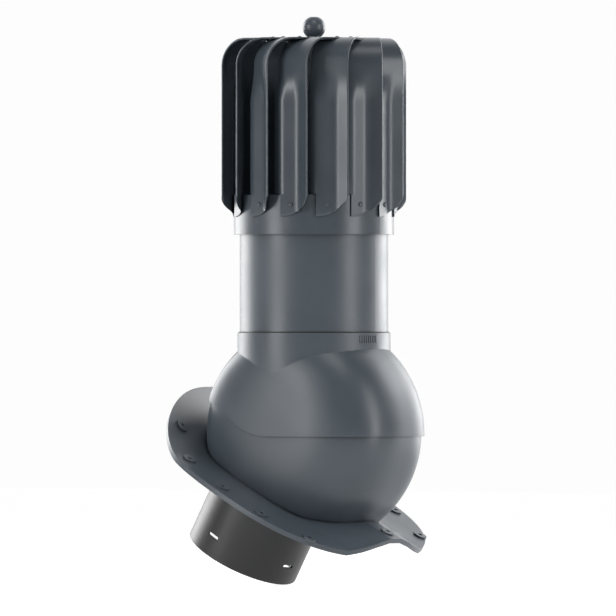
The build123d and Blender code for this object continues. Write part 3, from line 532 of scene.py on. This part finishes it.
def blade_section(height):
    """Closed outline of the blade at a height: outside, edge, inside and the rounded hem at the lip."""
    line = blade_line(height)
    inside = []
    for here, point in enumerate(line):
        run = line[min(here + 1, len(line) - 1)] - line[max(here - 1, 0)]
        inside.append(point + Vector((run.y, -run.x)).normalized() * BLADE_THICK)
    along = (line[1] - line[0]).normalized()
    inward = (inside[0] - line[0]).normalized()
    hem_end = line[0] + along * HEM_WIDTH
    fold = [hem_end + along * HEM_SLOPE + inward * BLADE_THICK, hem_end + inward * (BLADE_THICK + HEM_DEPTH)]
    hem = []
    hem_r = (BLADE_THICK + HEM_DEPTH) / 2
    for step in range(HEM_STEPS + 1):
        turn = math.radians(90 + 180 * step / HEM_STEPS)
        hem.append(line[0] + inward * hem_r * (1 + math.sin(turn)) + along * hem_r * (1 + math.cos(turn)))
    # the hem takes the place of the inside's first two points
    return line[1:] + inside[:1:-1] + fold + hem


# ---- turbine blades: rows of points from the foot up ----
def foot_rows():
    """From the foot's rounded lower edge to the ring's top."""
    rows = []
    foot = blade_section(BLADE_LOW.z)
    for step in range(FOOT_ROWS):
        row = []
        for point in foot:
            reach = clamped(1 + point.y / FOOT_ROUND_WIDTH)
            low = BLADE_LOW.z + FOOT_ROUND_HEIGHT * (1 - math.sqrt(1 - reach * reach))
            row.append(Vector((point.x, point.y, low + (FOOT_TOP - low) * step / FOOT_ROWS)))
        rows.append(row)
    return rows


def wall_rows():
    """From the ring's top, where the edge curls in, to where the blade is flat."""
    heights = [low + (high - low) * step / steps for low, high, steps in WALL_ROWS for step in range(steps)]
    return [[Vector((point.x, point.y, height)) for point in blade_section(height)]
            for height in heights + [FLAT_FROM]]


def bend_rows():
    """Round the bend that turns the flat blade in over the top plate."""
    rows = []
    flat = blade_section(FLAT_FROM)
    centre = LIP + INWARD * BEND_R
    for step in range(BEND_ROWS + 1):
        turn = math.radians(90 * step / BEND_ROWS)
        row = []
        for point in flat:
            along = (point - LIP).dot(BACK)
            reach = BEND_R - (point - LIP).dot(INWARD)
            place = centre + BACK * along - INWARD * reach * math.cos(turn)
            row.append(Vector((place.x, place.y, BEND_START + reach * math.sin(turn))))
        rows.append(row)
    return rows


def tab_rows(bend_end):
    """From the bend's end to the edge of the tab that lies on the top plate."""
    run = INWARD.to_3d() * TAB_LENGTH
    return [[point + run * step / TAB_ROWS for point in bend_end] for step in range(1, TAB_ROWS + 1)]


def tab_cutter():
    """The space that the neighbouring blade's tab takes on the top plate."""
    reach = BEND_R + TAB_LENGTH + TAB_GAP
    sides = ((-TAB_GAP, 0), (2 * BLADE_WIDTH, 0), (2 * BLADE_WIDTH, reach), (-TAB_GAP, reach))
    outline = [LIP + BACK * along + INWARD * inward for along, inward in sides]
    low = BLADE_HIGH.z - BLADE_THICK - HEM_DEPTH - TAB_GAP
    cutter = prism("tab_cutter", outline, low, BLADE_HIGH.z + CUTTER_RISE)
    cutter.data.transform(Matrix.Rotation(math.radians(-BLADE_PITCH), 4, "Z"))
    return cutter


def make_blades():
    """All the blades, each with its tab trimmed against its neighbour's."""
    bend = bend_rows()
    sheet = skinned("blade_sheet", foot_rows() + wall_rows() + bend + tab_rows(bend[-1]))
    cutter = tab_cutter()
    cut = sheet.modifiers.new("neighbour", "BOOLEAN")
    cut.operation = "DIFFERENCE"
    cut.solver = "EXACT"
    cut.object = cutter
    trimmed = finished(sheet, "trimmed_blade")
    bpy.data.objects.remove(cutter)
    soften(trimmed, BLADE_EDGE)
    blade = finished(trimmed, "blade")
    blades = repeated("turbine_blades", blade, slate_coating, BLADES, FIRST_LIP, BLADE_PITCH, ROTOR_AXIS)
    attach(blades, "rotor")
    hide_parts(*["blade_%02d" % (number + 1) for number in range(BLADES)])


# ---- rivets ----
def rivet_head(name):
    """A blind rivet's domed head: a thin skirt, and open in the middle round the mandrel's end."""
    profile = [(0, MANDREL_FLOOR), (MANDREL_R, MANDREL_FLOOR)]
    for step in range(DOME_OPEN, DOME_STEPS + 1):
        turn = math.radians(90 * step / DOME_STEPS)
        profile.append((DOME_R * math.sin(turn), DOME_FOOT + (RIVET_HEAD - DOME_FOOT) * math.cos(turn)))
    profile += [(RIVET_R, RIVET_SKIRT), (RIVET_R, -RIVET_SUNK), (0, -RIVET_SUNK)]
    return lathe(name, profile, RIVET_SEGMENTS)


def make_rivets():
    """The two rows of rivets, on the tabs and on the feet of the blades."""
    upper = rivet_head("upper_head")
    upper.data.transform(Matrix.Translation((RIVET_CIRCLE_R, 0, BLADE_HIGH.z)))
    lower = rivet_head("lower_head")
    outwards = Matrix.Rotation(math.pi / 2, 4, "Y")
    lower.data.transform(Matrix.Translation((FOOT_R, 0, LOWER_RIVET_Z)) @ outwards)
    rows = (
        ("upper_rivet_heads", upper, FIRST_LIP + UPPER_RIVET_ANGLE),
        ("lower_rivet_heads", lower, FIRST_LIP - RIVET_FROM_LIP),
    )
    for name, head, first in rows:
        heads = repeated(name, head, slate_coating, BLADES, first, BLADE_PITCH, ROTOR_AXIS)
        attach(heads, "rotor")


# ---- details of the hood's socket ----
def make_grip_ribs():
    """Short upright ribs under the socket's rim."""
    rib = block("rib", RIB_SIZE, (SOCKET_R, 0, SOCKET_RIM - RIB_DROP))
    soften(rib, RIB_EDGE)
    rib = finished(rib, "soft_rib")
    ribs = repeated("socket_grip_ribs", rib, slate_plastic, RIBS, RIB_FIRST, RIB_STEP, RISER_AXIS)
    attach(ribs, "head")


def make_seal_lugs():
    """Lugs of the rubber ring in the socket's mouth."""
    lug = block("lug", LUG_SIZE, (SOCKET_R - LUG_SIZE[0] / 2, 0, SOCKET_RIM + LUG_SIZE[2] / 2))
    lugs = repeated("seal_lugs", lug, seal_rubber, LUGS, LUG_FIRST, LUG_STEP, RISER_AXIS)
    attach(lugs, "head")


# ---- studio: floor, surround, camera and lamps ----
def direction(side, rise):
    """The way out from the object: degrees round from the camera, and degrees up."""
    around, lift = math.radians(CAMERA_TURN + side), math.radians(rise)
    return Vector((math.sin(around) * math.cos(lift), -math.cos(around) * math.cos(lift), math.sin(lift)))


def stand(name, data, place, way):
    """A camera or a lamp at a place, looking back along the way that leads out to it."""
    thing = bpy.data.objects.new(name, data)
    bpy.context.scene.collection.objects.link(thing)
    thing.location = place
    thing.rotation_euler = (-way).to_track_quat("-Z", "Y").to_euler()
    return thing


def make_floor():
    """Pale paper that takes the object's shadow, and is near white to the camera and in reflections."""
    height = cad_low.z - FLOOR_DROP
    corners = [(-FLOOR_REACH, -FLOOR_REACH, height), (FLOOR_REACH, -FLOOR_REACH, height),
               (FLOOR_REACH, FLOOR_REACH, height), (-FLOOR_REACH, FLOOR_REACH, height)]
    floor = mesh_object("floor", corners, [(0, 1, 2, 3)], smooth=False)
    paper = bpy.data.materials.new("pale_studio_paper")
    tree = empty_tree(paper)
    rays = add_node(tree, "ShaderNodeLightPath").outputs
    seen = rays["Is Camera Ray"]
    for kind in ("Is Glossy Ray", "Is Transmission Ray"):
        seen = add_node(tree, "ShaderNodeMath", {"operation": "MAXIMUM"}, {0: seen, 1: rays[kind]}).outputs[0]
    strength = add_node(tree, "ShaderNodeMath", {"operation": "MULTIPLY"}, {0: seen, 1: FLOOR_GLOW})
    matt = add_node(tree, "ShaderNodeBsdfDiffuse", None, {"Color": srgb("#c8c8c8")})
    glow = add_node(tree, "ShaderNodeEmission", None,
                    {"Color": srgb("#ffffff"), "Strength": strength.outputs[0]})
    both = add_node(tree, "ShaderNodeAddShader", None, {0: matt.outputs[0], 1: glow.outputs[0]})
    add_node(tree, "ShaderNodeOutputMaterial", None, {"Surface": both.outputs[0]})
    floor.data.materials.append(paper)


def make_surround():
    """A white surround that lights the object dimly; reflections see it bright behind, dark in front."""
    world = bpy.data.worlds.new("surround")
    bpy.context.scene.world = world
    tree = empty_tree(world)
    rays = add_node(tree, "ShaderNodeLightPath").outputs
    way = add_node(tree, "ShaderNodeTexCoord").outputs["Generated"]
    behind = add_node(tree, "ShaderNodeVectorMath", {"operation": "DOT_PRODUCT"},
                      {0: way, 1: direction(180, 0)})
    wall = add_node(tree, "ShaderNodeMapRange", {"interpolation_type": "SMOOTHSTEP"},
                    {"Value": behind.outputs["Value"], "From Min": 0.1, "From Max": 0.7,
                     "To Min": 0.12, "To Max": 1.5})
    soft = add_node(tree, "ShaderNodeMapRange", None,
                    {"Value": rays["Is Diffuse Ray"], "To Min": 1.0, "To Max": 0.3})
    strength = add_node(tree, "ShaderNodeMix", {"data_type": "FLOAT"},
                        {0: rays["Is Glossy Ray"], 2: soft.outputs["Result"], 3: wall.outputs["Result"]})
    sky = add_node(tree, "ShaderNodeBackground", None,
                   {"Color": srgb("#fdfdfd"), "Strength": strength.outputs[0]})
    add_node(tree, "ShaderNodeOutputWorld", None, {"Surface": sky.outputs[0]})


def make_camera():
    """A long lens, so far off that upright lines stay upright."""
    toward, right = direction(0, CAMERA_RISE), direction(90, 0)
    up = right.cross(-toward)
    aim = SWIVEL + right * (VIEW_PIXELS / 2 - SWIVEL_PIXEL[0]) * PIXEL
    aim += up * (SWIVEL_PIXEL[1] - VIEW_PIXELS / 2) * PIXEL
    data = bpy.data.cameras.new("camera")
    data.sensor_width = SENSOR_MM
    data.lens = SENSOR_MM * CAMERA_DISTANCE / (VIEW_PIXELS * PIXEL)
    data.clip_end = 100
    scene = bpy.context.scene
    scene.camera = stand("camera", data, aim + toward * CAMERA_DISTANCE, toward)
    scene.view_settings.view_transform = "Standard"


def make_lamps():
    """Soft lamps to both sides in front and behind, and one above."""
    middle = (cad_low + cad_high) / 2
    for name, side, rise, distance, width, height, watts in LAMPS:
        light = bpy.data.lights.new(name, "AREA")
        light.shape = "RECTANGLE"
        light.size = width
        light.size_y = height
        light.energy = watts
        way = direction(side, rise)
        stand(name, light, middle + way * distance, way)


coat_nodes()
make_blades()
make_rivets()
make_grip_ribs()
make_seal_lugs()
make_floor()
make_surround()
make_camera()
make_lamps()
